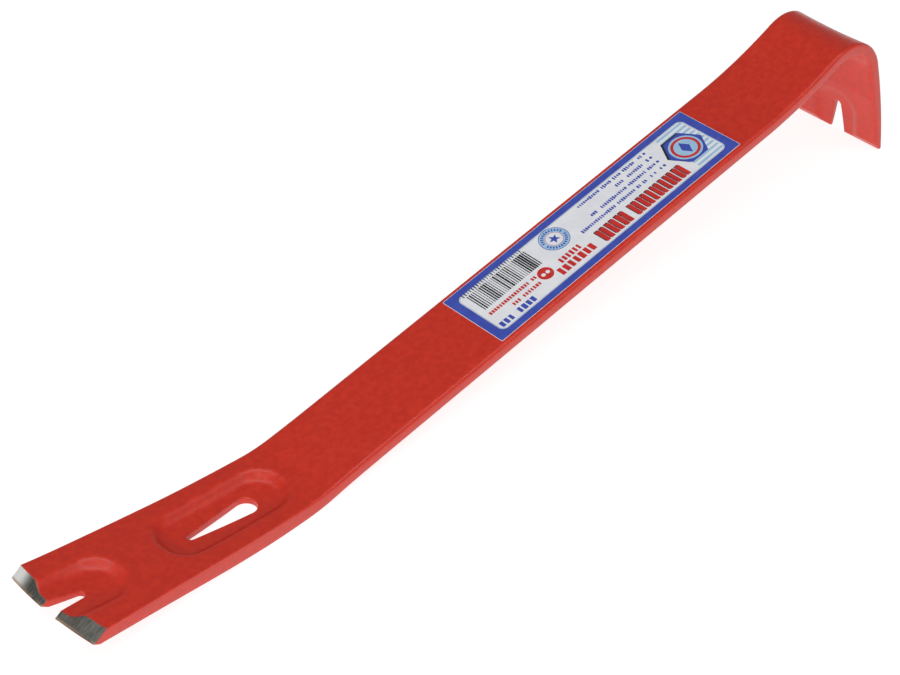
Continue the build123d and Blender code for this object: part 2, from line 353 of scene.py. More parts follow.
def flat_triangles(loops):
    """Points and triangles of the face inside the given outlines; outline points come first."""
    fixed = np.concatenate(loops)
    edges, start = [], 0
    for loop in loops:
        count = len(loop)
        edges += [(start + k, start + (k + 1) % count) for k in range(count)]
        start += count
    points = np.concatenate([fixed, field_points(loops)])
    verts, _, faces, origin, _, _ = delaunay_2d_cdt([Vector(p) for p in points], edges, [], 0, 1e-7)
    index = np.array([o[0] for o in origin])
    if len(verts) != len(points):
        raise RuntimeError("two outlines of the bar touch")
    faces = index[np.array([tuple(f) for f in faces])]
    middle = points[faces].mean(axis=1)
    faces = faces[inside(middle, loops)]
    a, b, c = points[faces[:, 0]], points[faces[:, 1]], points[faces[:, 2]]
    turn = (b[:, 0] - a[:, 0]) * (c[:, 1] - a[:, 1]) - (b[:, 1] - a[:, 1]) * (c[:, 0] - a[:, 0])
    faces[turn < 0] = faces[turn < 0][:, ::-1]
    return points, faces


def bar_mesh():
    """The whole bar as one closed mesh.

    'ground' is above 0 where the bevel bares the steel; 'edge_gap' is the distance from the
    cutting edge.
    """
    outlines = [bar_outline(), slot_outline()]
    radii, directions = [], []
    for number, loop in enumerate(outlines):
        s, y = loop[:, 0], loop[:, 1]
        height = lower_depth(s, y) - np.maximum(upper_depth(s, y), bevel_depth(s, y))
        on_side = (number == 0) & (np.abs(y) > 0.9 * half_width(s))
        radius = np.where(on_side, edge_radius(s), PAINT_EDGE)
        radii.append(np.minimum(radius, 0.42 * np.maximum(height, 0.02)))
        directions.append(inward(loop))
    turns = np.radians([0.0, 22.5, 45.0, 67.5, 90.0])
    rings = [[loop + direction * (radius * (1.0 - math.cos(t)))[:, None] for t in turns]
             for loop, radius, direction in zip(outlines, radii, directions)]
    points, faces = flat_triangles([ring[-1] for ring in rings])
    verts, ground, gap, polygons = [], [], [], []
    total = 0

    def add(s, y, depth, bare):
        nonlocal total
        verts.append(lift(s, y, depth))
        ground.append(np.broadcast_to(bare, s.shape))
        gap.append(edge_reach(s, y))
        total += len(s)
        return total - len(s)

    s, y = points[:, 0], points[:, 1]
    plain, cut = upper_depth(s, y), bevel_depth(s, y)
    upper = add(s, y, np.maximum(plain, cut) + forging_waves(s, y, 1.0), cut - plain)
    lower = add(s, y, lower_depth(s, y) + forging_waves(s, y, 7.0), -1.0)
    polygons += (faces + upper).tolist()
    polygons += (faces[:, ::-1] + lower).tolist()
    offset = 0
    for ring, radius in zip(rings, radii):
        count = len(ring[0])
        s, y = ring[0][:, 0], ring[0][:, 1]
        strips = [np.arange(count) + offset + upper]
        for k in (3, 2, 1, 0):
            s, y = ring[k][:, 0], ring[k][:, 1]
            plain, cut = upper_depth(s, y), bevel_depth(s, y)
            depth = np.maximum(plain, cut) + radius * (1.0 - math.sin(turns[k]))
            strips.append(add(s, y, depth, np.where(k > 1, cut - plain, -1.0)) + np.arange(count))
        top = depth
        bottom = lower_depth(s, y) - radius
        edge = edge_reach(s, y) < 0.25
        for share in (0.33, 0.67, 1.0):
            bulge = top + (bottom - top) * share
            strips.append(add(s, y, bulge, np.where(edge, 0.5, -1.0)) + np.arange(count))
        for k in (1, 2, 3):
            s, y = ring[k][:, 0], ring[k][:, 1]
            depth = lower_depth(s, y) - radius * (1.0 - math.sin(turns[k]))
            strips.append(add(s, y, depth, -1.0) + np.arange(count))
        strips.append(np.arange(count) + offset + lower)
        for a, b in zip(strips, strips[1:]):
            polygons += np.stack([a, b, np.roll(b, -1), np.roll(a, -1)], axis=1).tolist()
        offset += count
    mesh = bpy.data.meshes.new("enamelled_bar")
    mesh.from_pydata(np.concatenate(verts).tolist(), [], polygons)
    for name, values in (("ground", ground), ("edge_gap", gap)):
        attribute = mesh.attributes.new(name, "FLOAT", "POINT")
        attribute.data.foreach_set("value", np.concatenate(values).astype(np.float32))
    mesh.polygons.foreach_set("use_smooth", np.ones(len(mesh.polygons), bool))
    mesh.validate()
    mesh.update()
    return mesh


# ===================================== shader node groups ========================================

def add_node(tree, kind, **settings):
    """New node with its properties set and its inputs given by name (spaces as underscores)."""
    node = tree.nodes.new(kind)
    for name, value in settings.items():
        if hasattr(node, name):
            setattr(node, name, value)
        else:
            node.inputs[name.replace("_", " ")].default_value = value
    return node


def wire(tree, *links):
    """Joins (output, input) pairs."""
    for output, target in links:
        tree.links.new(output, target)


def maths(tree, operation, a, b):
    """Math node on sockets or numbers; returns its output."""
    node = tree.nodes.new("ShaderNodeMath")
    node.operation = operation
    for socket, value in zip(node.inputs, (a, b)):
        if isinstance(value, (int, float)):
            socket.default_value = value
        else:
            tree.links.new(value, socket)
    return node.outputs[0]


def ramp(tree, value, low, high, out_low=0.0, out_high=1.0):
    """Smooth Map Range node; returns its output."""
    node = tree.nodes.new("ShaderNodeMapRange")
    node.interpolation_type = "SMOOTHSTEP"
    for name, number in (("From Min", low), ("From Max", high),
                         ("To Min", out_low), ("To Max", out_high)):
        node.inputs[name].default_value = number
    tree.links.new(value, node.inputs["Value"])
    return node.outputs["Result"]


def blend_colour(tree, factor, a, b):
    """Mix by a socket of two colours, given as sockets or RGBA; returns its output."""
    node = tree.nodes.new("ShaderNodeMix")
    node.data_type = "RGBA"
    tree.links.new(factor, node.inputs["Factor"])
    for socket, value in ((node.inputs[6], a), (node.inputs[7], b)):
        if isinstance(value, tuple):
            socket.default_value = value
        else:
            tree.links.new(value, socket)
    return node.outputs[2]


def new_group(name, inputs, outputs):
    """Empty shader group with float inputs {name: default} and outputs {name: socket type}."""
    tree = bpy.data.node_groups.new(name, "ShaderNodeTree")
    for socket, default in inputs.items():
        made = tree.interface.new_socket(socket, in_out="INPUT", socket_type="NodeSocketFloat")
        made.default_value = default
    for socket, kind in outputs.items():
        tree.interface.new_socket(socket, in_out="OUTPUT", socket_type=kind)
    return tree, tree.nodes.new("NodeGroupInput"), tree.nodes.new("NodeGroupOutput")


def coat_surface_group():
    """Surface of a sprayed or printed coat: fine orange peel, soft mottling and dust specks."""
    tree, given, result = new_group(
        "coat_surface",
        {"Peel Scale": 900.0, "Peel Strength": 1.0, "Mottle Scale": 60.0, "Dust Amount": 0.5},
        {"Height": "NodeSocketFloat", "Mottle": "NodeSocketFloat", "Dust": "NodeSocketFloat"})
    place = tree.nodes.new("ShaderNodeTexCoord").outputs["Object"]
    peel = add_node(tree, "ShaderNodeTexNoise", Detail=3.0, Roughness=0.55)
    grain = add_node(tree, "ShaderNodeTexNoise", Detail=2.0, Roughness=0.5)
    mottle = add_node(tree, "ShaderNodeTexNoise", Detail=5.0, Roughness=0.6)
    dust = add_node(tree, "ShaderNodeTexVoronoi", Scale=420.0, Randomness=1.0)
    wire(tree, (place, peel.inputs["Vector"]), (place, grain.inputs["Vector"]),
         (place, mottle.inputs["Vector"]), (place, dust.inputs["Vector"]),
         (given.outputs["Peel Scale"], peel.inputs["Scale"]),
         (given.outputs["Mottle Scale"], mottle.inputs["Scale"]))
    wire(tree, (maths(tree, "MULTIPLY", given.outputs["Peel Scale"], 3.1), grain.inputs["Scale"]))
    chosen = maths(tree, "GREATER_THAN", dust.outputs["Color"], 0.93)
    near = ramp(tree, dust.outputs["Distance"], 0.05, 0.20, 1.0, 0.0)
    specks = maths(tree, "MULTIPLY", maths(tree, "MULTIPLY", chosen, near),
                   given.outputs["Dust Amount"])
    rough = maths(tree, "ADD", peel.outputs[0], maths(tree, "MULTIPLY", grain.outputs[0], 0.35))
    height = maths(tree, "ADD", maths(tree, "MULTIPLY", rough, given.outputs["Peel Strength"]),
                   maths(tree, "MULTIPLY", specks, 1.6))
    wire(tree, (height, result.inputs["Height"]), (mottle.outputs[0], result.inputs["Mottle"]),
         (specks, result.inputs["Dust"]))
    return tree


def scuff_group():
    """Handling marks: sparse fine scratches in two directions and faint rub patches."""
    tree, given, result = new_group(
        "handling_scuffs", {"Scratch Amount": 0.5, "Rub Amount": 0.5},
        {"Scratch": "NodeSocketFloat", "Rub": "NodeSocketFloat"})
    place = tree.nodes.new("ShaderNodeTexCoord").outputs["Object"]
    lines = []
    for turn, stretch, seed in ((0.35, 26.0, 1.7), (-0.6, 34.0, 4.2)):
        mapping = add_node(tree, "ShaderNodeMapping")
        mapping.inputs["Rotation"].default_value = (0.0, 0.15, turn)
        mapping.inputs["Scale"].default_value = (40.0, 40.0 * stretch, 40.0 * stretch)
        mapping.inputs["Location"].default_value = (seed, seed, seed)
        streak = add_node(tree, "ShaderNodeTexNoise", Scale=1.0, Detail=2.0, Roughness=0.4)
        wire(tree, (place, mapping.inputs["Vector"]), (mapping.outputs[0], streak.inputs["Vector"]))
        lines.append(ramp(tree, streak.outputs[0], 0.70, 0.76))
    patch = add_node(tree, "ShaderNodeTexNoise", Scale=34.0, Detail=4.0, Roughness=0.65)
    wire(tree, (place, patch.inputs["Vector"]))
    rub = ramp(tree, patch.outputs[0], 0.52, 0.74)
    scratch = maths(tree, "MAXIMUM", lines[0], lines[1])
    scratch = maths(tree, "MULTIPLY", scratch, given.outputs["Scratch Amount"])
    rub = maths(tree, "MULTIPLY", rub, given.outputs["Rub Amount"])
    wire(tree, (scratch, result.inputs["Scratch"]), (rub, result.inputs["Rub"]))
    return tree


COAT_SURFACE = coat_surface_group()
HANDLING_SCUFFS = scuff_group()


def placed_group(tree, group, **values):
    """A shader group in a material, with its inputs given by name (spaces as underscores)."""
    node = tree.nodes.new("ShaderNodeGroup")
    node.node_tree = group
    for name, value in values.items():
        node.inputs[name.replace("_", " ")].default_value = value
    return node


def new_material(name):
    """Material with an empty Principled shader; returns material, tree and shader."""
    material = bpy.data.materials.new(name)
    material.use_nodes = True
    tree = material.node_tree
    return material, tree, tree.nodes["Principled BSDF"]


def srgb(red, green, blue):
    """Linear RGBA of an 8-bit colour."""
    def linear(value):
        value /= 255.0
        return value / 12.92 if value <= 0.04045 else ((value + 0.055) / 1.055) ** 2.4
    return (linear(red), linear(green), linear(blue), 1.0)


ENAMEL_RED = srgb(208, 44, 17)
ENAMEL_DEEP = srgb(196, 37, 15)
# paler red: worn on scratches, and painted on the edges that stick out as a painted highlight
ENAMEL_WEAR_AND_PAINTED_HIGHLIGHT = srgb(214, 74, 62)
STEEL_DARK = srgb(92, 92, 88)
# near-white painted on the far corner of the bevel as a painted highlight
STEEL_BRIGHT = srgb(128, 127, 122)
STEEL_PAINTED_GLINT = srgb(232, 232, 228)
BURR_BROWN = srgb(176, 150, 124)
PRIMER_BROWN = srgb(96, 70, 56)
DUST_PALE = srgb(226, 190, 182)


def enamelled_steel():
    """Red stove enamel over forged steel, ground bare on the claw's bevel."""
    material, tree, shader = new_material("enamelled_steel")
    place = tree.nodes.new("ShaderNodeTexCoord").outputs["Object"]
    coat = placed_group(tree, COAT_SURFACE, Peel_Scale=1100.0, Peel_Strength=1.0,
                        Mottle_Scale=420.0, Dust_Amount=0.6)
    scuffs = placed_group(tree, HANDLING_SCUFFS, Scratch_Amount=0.35, Rub_Amount=0.6)
    # where the wheel has bared the steel, with a slightly ragged edge
    ground = add_node(tree, "ShaderNodeAttribute", attribute_name="ground")
    ragged = add_node(tree, "ShaderNodeTexNoise", Scale=900.0, Detail=3.0, Roughness=0.7)
    wire(tree, (place, ragged.inputs["Vector"]))
    wobble = maths(tree, "MULTIPLY", maths(tree, "SUBTRACT", ragged.outputs[0], 0.5), 0.5)
    reach = maths(tree, "ADD", ground.outputs["Fac"], wobble)
    bare = ramp(tree, reach, 0.0, 0.22)
    coated = maths(tree, "SUBTRACT", 1.0, bare)
    lip = maths(tree, "MULTIPLY", ramp(tree, reach, -0.12, 0.02), coated)
    # grinding marks run along the bar
    grit_place = add_node(tree, "ShaderNodeMapping")
    grit_place.inputs["Scale"].default_value = (90.0, 2600.0, 700.0)
    grit = add_node(tree, "ShaderNodeTexNoise", Scale=1.0, Detail=4.0, Roughness=0.7)
    smudge = add_node(tree, "ShaderNodeTexNoise", Scale=160.0, Detail=3.0, Roughness=0.6)
    wire(tree, (place, grit_place.inputs["Vector"]), (grit_place.outputs[0], grit.inputs["Vector"]),
         (place, smudge.inputs["Vector"]))
    steel = blend_colour(tree, ramp(tree, grit.outputs[0], 0.35, 0.75), STEEL_DARK, STEEL_BRIGHT)
    steel = blend_colour(tree, ramp(tree, smudge.outputs[0], 0.50, 0.72, 0.0, 0.3), steel,
                         PRIMER_BROWN)
    # the far corner of the bevel is painted near-white as a painted highlight, and the cutting edge
    # carries a thin brown burr
    across = add_node(tree, "ShaderNodeSeparateXYZ")
    wire(tree, (place, across.inputs[0]))
    # painted highlight: steel towards the far side of the bevel is painted near-white
    corner = ramp(tree, across.outputs["Y"], 0.0115, 0.0175)
    steel = blend_colour(tree, corner, steel, STEEL_PAINTED_GLINT)
    edge_gap = add_node(tree, "ShaderNodeAttribute", attribute_name="edge_gap")
    burr = maths(tree, "MULTIPLY", ramp(tree, edge_gap.outputs["Fac"], 0.3, 0.9, 1.0, 0.0),
                 ramp(tree, smudge.outputs[0], 0.36, 0.52))
    steel = blend_colour(tree, maths(tree, "MULTIPLY", burr, 0.8), steel, BURR_BROWN)
    # enamel: pooled darker; the edges that stick out are painted paler as a painted highlight, and
    # scratches are paler wear
    convexity = tree.nodes.new("ShaderNodeNewGeometry").outputs["Pointiness"]
    edge = ramp(tree, convexity, 0.515, 0.56)
    red = blend_colour(tree, ramp(tree, coat.outputs["Mottle"], 0.36, 0.68), ENAMEL_DEEP,
                       ENAMEL_RED)
    # painted highlight: the convex edges are painted paler red
    red = blend_colour(tree, maths(tree, "MULTIPLY", edge, 0.35), red, ENAMEL_WEAR_AND_PAINTED_HIGHLIGHT)
    red = blend_colour(tree, maths(tree, "MULTIPLY", scuffs.outputs["Scratch"], 0.25), red,
                       ENAMEL_WEAR_AND_PAINTED_HIGHLIGHT)
    red = blend_colour(tree, maths(tree, "MULTIPLY", coat.outputs["Dust"], 0.5), red, DUST_PALE)
    colour = blend_colour(tree, lip, red, PRIMER_BROWN)
    colour = blend_colour(tree, bare, colour, steel)
    gloss = maths(tree, "ADD", ramp(tree, coat.outputs["Mottle"], 0.3, 0.7, 0.32, 0.40),
                  maths(tree, "MULTIPLY", scuffs.outputs["Rub"], 0.14))
    gloss = maths(tree, "ADD", gloss, maths(tree, "MULTIPLY", scuffs.outputs["Scratch"], 0.3))
    steel_gloss = ramp(tree, grit.outputs[0], 0.3, 0.8, 0.50, 0.38)
    mixed = tree.nodes.new("ShaderNodeMix")
    wire(tree, (bare, mixed.inputs["Factor"]), (gloss, mixed.inputs[2]),
         (steel_gloss, mixed.inputs[3]))
    bump = add_node(tree, "ShaderNodeBump", Strength=0.6, Distance=0.00008)
    painted = maths(tree, "ADD", coat.outputs["Height"],
                    maths(tree, "MULTIPLY", scuffs.outputs["Scratch"], -0.4))
    relief = tree.nodes.new("ShaderNodeMix")
    # the far corner is made less metallic so its painted highlight stays bright
    metal = maths(tree, "MULTIPLY", bare, ramp(tree, corner, 0.0, 1.0, 1.0, 0.4))
    clear = maths(tree, "MULTIPLY", coated, 0.08)
    wire(tree, (bare, relief.inputs["Factor"]), (painted, relief.inputs[2]),
         (grit.outputs[0], relief.inputs[3]), (relief.outputs[0], bump.inputs["Height"]),
         (bump.outputs[0], shader.inputs["Normal"]), (colour, shader.inputs["Base Color"]),
         (mixed.outputs[0], shader.inputs["Roughness"]), (metal, shader.inputs["Metallic"]),
         (clear, shader.inputs["Coat Weight"]))
    shader.inputs["Coat Roughness"].default_value = 0.3
    return material


def printed(name, colour, shade):
    """Printed film or ink: a faint screen mottle, fine grain and light scuffs."""
    material, tree, shader = new_material(name)
    coat = placed_group(tree, COAT_SURFACE, Peel_Scale=2400.0, Peel_Strength=0.6,
                        Mottle_Scale=220.0, Dust_Amount=0.25)
    scuffs = placed_group(tree, HANDLING_SCUFFS, Scratch_Amount=0.25, Rub_Amount=0.5)
    tone = blend_colour(tree, ramp(tree, coat.outputs["Mottle"], 0.35, 0.7), shade, colour)
    tone = blend_colour(tree, maths(tree, "MULTIPLY", scuffs.outputs["Scratch"], 0.3), tone,
                        DUST_PALE)
    satin = ramp(tree, coat.outputs["Mottle"], 0.3, 0.7,
                 PRINT_ROUGHNESS - 0.03, PRINT_ROUGHNESS + 0.05)
    gloss = maths(tree, "ADD", satin, maths(tree, "MULTIPLY", scuffs.outputs["Rub"], 0.12))
    bump = add_node(tree, "ShaderNodeBump", Strength=0.2, Distance=0.00003)
    wire(tree, (coat.outputs["Height"], bump.inputs["Height"]),
         (bump.outputs[0], shader.inputs["Normal"]), (tone, shader.inputs["Base Color"]),
         (gloss, shader.inputs["Roughness"]))
    return material


INKS = {
    "film": printed("label_film_white", srgb(238, 239, 242), srgb(230, 232, 238)),
    "blue": printed("ink_blue", srgb(60, 82, 182), srgb(54, 74, 172)),
    "red": printed("ink_red", srgb(208, 42, 36), srgb(196, 36, 32)),
    "black": printed("ink_black", srgb(34, 34, 38), srgb(24, 24, 28)),
    "pale": printed("ink_pale_blue", srgb(168, 204, 232), srgb(156, 194, 226)),
    "grey": printed("ink_soft_grey", srgb(196, 206, 218), srgb(188, 198, 212)),
}


# ============================================ label ==============================================

def on_label(points, level):
    """Label drawing (mm from its claw end, mm from its far side) to the resting bar, in metres."""
    points = np.asarray(points, float)
    s = LABEL_MIDDLE - 0.5 * LABEL_LENGTH + points[:, 0]
    return lift(s, 0.5 * LABEL_WIDTH - points[:, 1], -np.asarray(level, float))


class Print:
    """All shapes of one ink, gathered into one mesh."""

    def __init__(self, ink):
        self.ink = ink
        self.mesh = bmesh.new()

    def prism(self, outline, low, high, hole=None):
        """Flat shape between two levels; a hole has as many points as the outline."""
        loops = [outline] if hole is None else [outline, hole]
        made = [[[self.mesh.verts.new(p) for p in on_label(loop, level)] for level in (low, high)]
                for loop in loops]
        count = len(outline)
        for number, (bottom, top) in enumerate(made):
            for k in range(count):
                ring = [bottom[k], bottom[(k + 1) % count], top[(k + 1) % count], top[k]]
                self.mesh.faces.new(ring if number == 0 else ring[::-1])
        if hole is None:
            self.mesh.faces.new(made[0][1])
            self.mesh.faces.new(made[0][0][::-1])
            return
        for k in range(count):
            j = (k + 1) % count
            self.mesh.faces.new([made[0][1][k], made[0][1][j], made[1][1][j], made[1][1][k]])
            self.mesh.faces.new([made[0][0][j], made[0][0][k], made[1][0][k], made[1][0][j]])

    def take(self, mesh):
        """Adds a flat-drawn mesh, such as a row of marks, bent on to the label."""
        co = np.array([v.co for v in mesh.vertices], float).reshape(-1, 3) / MM
        verts = [self.mesh.verts.new(p) for p in on_label(co[:, :2], co[:, 2])]
        for polygon in mesh.polygons:
            self.mesh.faces.new([verts[i] for i in polygon.vertices][::-1])
        bpy.data.meshes.remove(mesh)

    def piece(self, name):
        """Finished object with closed, outward-facing shapes."""
        bmesh.ops.recalc_face_normals(self.mesh, faces=self.mesh.faces)
        mesh = bpy.data.meshes.new(name)
        self.mesh.to_mesh(mesh)
        self.mesh.free()
        mesh.materials.append(INKS[self.ink])
        made = bpy.data.objects.new(name, mesh)
        bpy.context.scene.collection.objects.link(made)
        return made


def rectangle(a0, b0, a1, b1, corner=0.0):
    """Rectangle between two corners, rounded if asked, counter-clockwise."""
    if corner <= 0.0:
        return [(a0, b0), (a1, b0), (a1, b1), (a0, b1)]
    out = []
    for ca, cb, start in ((a1 - corner, b0 + corner, -90), (a1 - corner, b1 - corner, 0),
                          (a0 + corner, b1 - corner, 90), (a0 + corner, b0 + corner, 180)):
        for k in range(CORNER_STEPS + 1):
            angle = math.radians(start + 90.0 * k / CORNER_STEPS)
            out.append((ca + corner * math.cos(angle), cb + corner * math.sin(angle)))
    return out


def disc(a, b, radius, sides=48):
    """Regular outline round a centre."""
    return [(a + radius * math.cos(2 * math.pi * k / sides),
             b + radius * math.sin(2 * math.pi * k / sides)) for k in range(sides)]


def star(a, b, outer, inner, points, turn):
    """Plain star outline."""
    return [(a + (outer if k % 2 == 0 else inner) * math.cos(turn + math.pi * k / points),
             b + (outer if k % 2 == 0 else inner) * math.sin(turn + math.pi * k / points))
            for k in range(2 * points)]


# ---- rows of small marks, made with Geometry Nodes ----------------------------------------------

def marks_tree():
    """Geometry Nodes tree: a row of small printed marks of random width, height and gaps."""
    tree = bpy.data.node_groups.new("printed_marks", "GeometryNodeTree")
    tree.interface.new_socket("Geometry", in_out="OUTPUT", socket_type="NodeSocketGeometry")
    kinds = {"Count": "NodeSocketInt", "Seed": "NodeSocketInt", "Material": "NodeSocketMaterial"}
    for name in ("Count", "Pitch", "Gap Share", "Min Width", "Max Width", "Min Height",
                 "Max Height", "Thickness", "Seed", "Material"):
        tree.interface.new_socket(name, in_out="INPUT",
                                  socket_type=kinds.get(name, "NodeSocketFloat"))
    given = tree.nodes.new("NodeGroupInput")
    result = tree.nodes.new("NodeGroupOutput")

    def random(low, high, salt):
        node = tree.nodes.new("FunctionNodeRandomValue")
        seed = tree.nodes.new("FunctionNodeIntegerMath")
        seed.inputs[1].default_value = salt
        wire(tree, (given.outputs["Seed"], seed.inputs[0]), (seed.outputs[0], node.inputs["Seed"]))
        for socket, value in ((node.inputs[2], low), (node.inputs[3], high)):
            if isinstance(value, float):
                socket.default_value = value
            else:
                wire(tree, (value, socket))
        return node.outputs[1]

    line = tree.nodes.new("GeometryNodeMeshLine")
    step = tree.nodes.new("ShaderNodeCombineXYZ")
    points = tree.nodes.new("GeometryNodeMeshToPoints")
    gaps = tree.nodes.new("GeometryNodeDeleteGeometry")
    skipped = tree.nodes.new("FunctionNodeCompare")
    skipped.operation = "LESS_THAN"
    size = tree.nodes.new("ShaderNodeCombineXYZ")
    block = tree.nodes.new("GeometryNodeMeshCube")
    block.inputs["Size"].default_value = (1.0, 1.0, 1.0)
    instances = tree.nodes.new("GeometryNodeInstanceOnPoints")
    realize = tree.nodes.new("GeometryNodeRealizeInstances")
    finish = tree.nodes.new("GeometryNodeSetMaterial")
    wire(tree, (given.outputs["Count"], line.inputs["Count"]),
         (given.outputs["Pitch"], step.inputs["X"]),
         (step.outputs[0], line.inputs["Offset"]), (line.outputs[0], points.inputs[0]),
         (random(0.0, 1.0, 11), skipped.inputs[0]), (given.outputs["Gap Share"], skipped.inputs[1]),
         (points.outputs[0], gaps.inputs[0]), (skipped.outputs[0], gaps.inputs["Selection"]),
         (random(given.outputs["Min Width"], given.outputs["Max Width"], 23), size.inputs["X"]),
         (random(given.outputs["Min Height"], given.outputs["Max Height"], 37), size.inputs["Y"]),
         (given.outputs["Thickness"], size.inputs["Z"]),
         (gaps.outputs[0], instances.inputs["Points"]),
         (block.outputs[0], instances.inputs["Instance"]),
         (size.outputs[0], instances.inputs["Scale"]),
         (instances.outputs[0], realize.inputs[0]), (realize.outputs[0], finish.inputs["Geometry"]),
         (given.outputs["Material"], finish.inputs["Material"]),
         (finish.outputs[0], result.inputs[0]))
    return tree


MARKS_TREE = marks_tree()


def marks(ink, seed, **sizes):
    """Plain mesh of one row of marks, from the printed_marks tree; sizes in millimetres."""
    carrier = bpy.data.objects.new("row", bpy.data.meshes.new("row"))
    bpy.context.scene.collection.objects.link(carrier)
    modifier = carrier.modifiers.new("marks", "NODES")
    modifier.node_group = MARKS_TREE
    values = {"Seed": seed, "Material": INKS[ink], "Thickness": INK * MM}
    for name, value in sizes.items():
        plain = name in ("Count", "Gap_Share")
        values[name.replace("_", " ")] = value if plain else value * MM
    for item in MARKS_TREE.interface.items_tree:
        if item.in_out == "INPUT" and item.name in values:
            modifier[item.identifier] = values[item.name]
    bpy.context.view_layer.update()
    evaluated = carrier.evaluated_get(bpy.context.evaluated_depsgraph_get())
    mesh = bpy.data.meshes.new_from_object(evaluated)
    bpy.data.objects.remove(carrier)
    return mesh


def row(sheet, start, level, seed, direction=1.0, **sizes):
    """Row of marks on a sheet, from start along the label."""
    mesh = marks(sheet.ink, seed, **sizes)
    for vertex in mesh.vertices:
        x, y, z = vertex.co
        vertex.co = (start[0] * MM + direction * x, start[1] * MM + y,
                     z + (level + 0.5 * INK) * MM)
    sheet.take(mesh)


def build_label():
    """Film, frame and print of the label; returns its pieces."""
    top = FILM
    sheets = {ink: Print(ink) for ink in INKS}
    length, breadth = LABEL_LENGTH, LABEL_WIDTH
    panel = (FRAME_END, FRAME_SIDE, length - FRAME_END, breadth - FRAME_SIDE)
    sheets["film"].prism(rectangle(0, 0, length, breadth, 0.4), 0.0, FILM)
    sheets["blue"].prism(rectangle(0.16, 0.16, length - 0.16, breadth - 0.16, 0.3), top, top + INK,
                         hole=rectangle(*panel, 2.6))
    # soft grey line inside the frame
    line = 0.5
    within = (panel[0] + line, panel[1] + line, panel[2] - line, panel[3] - line)
    sheets["grey"].prism(rectangle(*panel, 2.6), top, top + 0.5 * INK,
                         hole=rectangle(*within, 2.1))
    # pale stripes at the hook end
    for k in range(10):
        b = FRAME_SIDE + 1.0 + 2.2 * k
        stripe = rectangle(length - 17.5, b, length - FRAME_END - 0.8, b + 1.1)
        sheets["pale"].prism(stripe, top, top + 0.5 * INK)
    # badge: a hexagon nut with a ring and a lozenge, on a dark offset shadow
    badge = (length - 13.2, 0.5 * breadth)
    sheets["black"].prism(disc(badge[0] - 0.6, badge[1] - 0.7, 8.3, 6), top, top + 0.6 * INK)
    sheets["blue"].prism(disc(*badge, 8.3, 6), top, top + 1.2 * INK)
    sheets["pale"].prism(disc(*badge, 6.3, 48), top, top + 1.6 * INK)
    sheets["red"].prism(disc(*badge, 5.5, 48), top, top + 2.0 * INK, hole=disc(*badge, 4.4, 48))
    lozenge = [(badge[0] - 2.0, badge[1]), (badge[0], badge[1] - 3.6),
               (badge[0] + 2.0, badge[1]), (badge[0], badge[1] + 3.6)]
    sheets["blue"].prism(lozenge, top, top + 2.0 * INK)
    # headline: heavy red blocks in two groups, each split by a slit, with a dark offset shadow
    a, low, high = 0.823 * length, 0.635 * breadth, 0.855 * breadth
    for block in (4.0, 3.8, 1.7, 3.6, 1.7, 3.9, 3.9, -1.9, 4.1, 4.2, 4.2):
        if block < 0.0:
            a += block
            continue
        stroke = 0.5 * (block - 0.45) if block > 2.0 else block
        for start in (a, a - stroke - 0.45) if block > 2.0 else (a,):
            red = [(start - stroke, low), (start, low), (start, high), (start - stroke, high)]
            sheets["black"].prism([(p - 0.35, q - 0.45) for p, q in red], top, top + 0.6 * INK)
            sheets["red"].prism(red, top, top + 1.3 * INK)
        a -= block + 0.75
    # four lines of small print behind dots
    pitch = 1.02
    lines = ((0.165, 0.503), (0.28, 0.633), (0.395, 0.497), (0.508, 0.434))
    for number, (b, reach) in enumerate(lines):
        sheets["blue"].prism(disc(0.797 * length, b * breadth, 0.6, 16), top, top + INK)
        count = int((0.782 - reach) * length / pitch)
        row(sheets["blue"], (0.782 * length, b * breadth), top, 40 + number, -1.0, Count=count,
            Pitch=pitch, Gap_Share=0.13, Min_Width=0.55, Max_Width=0.85,
            Min_Height=0.95, Max_Height=1.6)
    # size: two short rows of red blocks
    row(sheets["red"], (0.422 * length, 0.765 * breadth), top, 51, -1.0, Count=7, Pitch=2.55,
        Gap_Share=0.0, Min_Width=1.6, Max_Width=2.1, Min_Height=3.3, Max_Height=3.7)
    row(sheets["red"], (0.398 * length, 0.635 * breadth), top, 52, -1.0, Count=6, Pitch=1.75,
        Gap_Share=0.0, Min_Width=0.9, Max_Width=1.3, Min_Height=2.3, Max_Height=2.7)
    # round seal with ticks and a star
    seal = (0.378 * length, 0.312 * breadth)
    sheets["blue"].prism(disc(*seal, 5.7, 64), top, top + INK, hole=disc(*seal, 5.45, 64))
    sheets["pale"].prism(disc(*seal, 5.4, 64), top, top + INK, hole=disc(*seal, 3.35, 64))
    sheets["red"].prism(disc(*seal, 3.3, 64), top, top + INK, hole=disc(*seal, 3.15, 64))
    sheets["blue"].prism(star(*seal, 2.3, 0.95, 5, math.pi), top, top + INK)
    ticks, tick = 26, [(-0.3, 3.9), (0.3, 3.9), (0.3, 4.9), (-0.3, 4.9)]
    for k in range(ticks):
        if k % (ticks // 2) == 0:
            continue
        angle = 2 * math.pi * k / ticks
        cos, sin = math.cos(angle), math.sin(angle)
        shape = [(seal[0] + t * -sin + r * cos, seal[1] + t * cos + r * sin) for t, r in tick]
        sheets["blue"].prism(shape, top, top + 1.5 * INK)
    # bar code with a row of small marks beside it
    row(sheets["black"], (0.058 * length, 0.325 * breadth), top, 61, Count=30, Pitch=0.955,
        Gap_Share=0.0, Min_Width=0.2, Max_Width=0.8, Min_Height=9.3, Max_Height=9.4)
    row(sheets["black"], (0.052 * length, 0.125 * breadth), top, 62, Count=25, Pitch=1.16,
        Gap_Share=0.0, Min_Width=0.22, Max_Width=0.5, Min_Height=1.3, Max_Height=1.7)
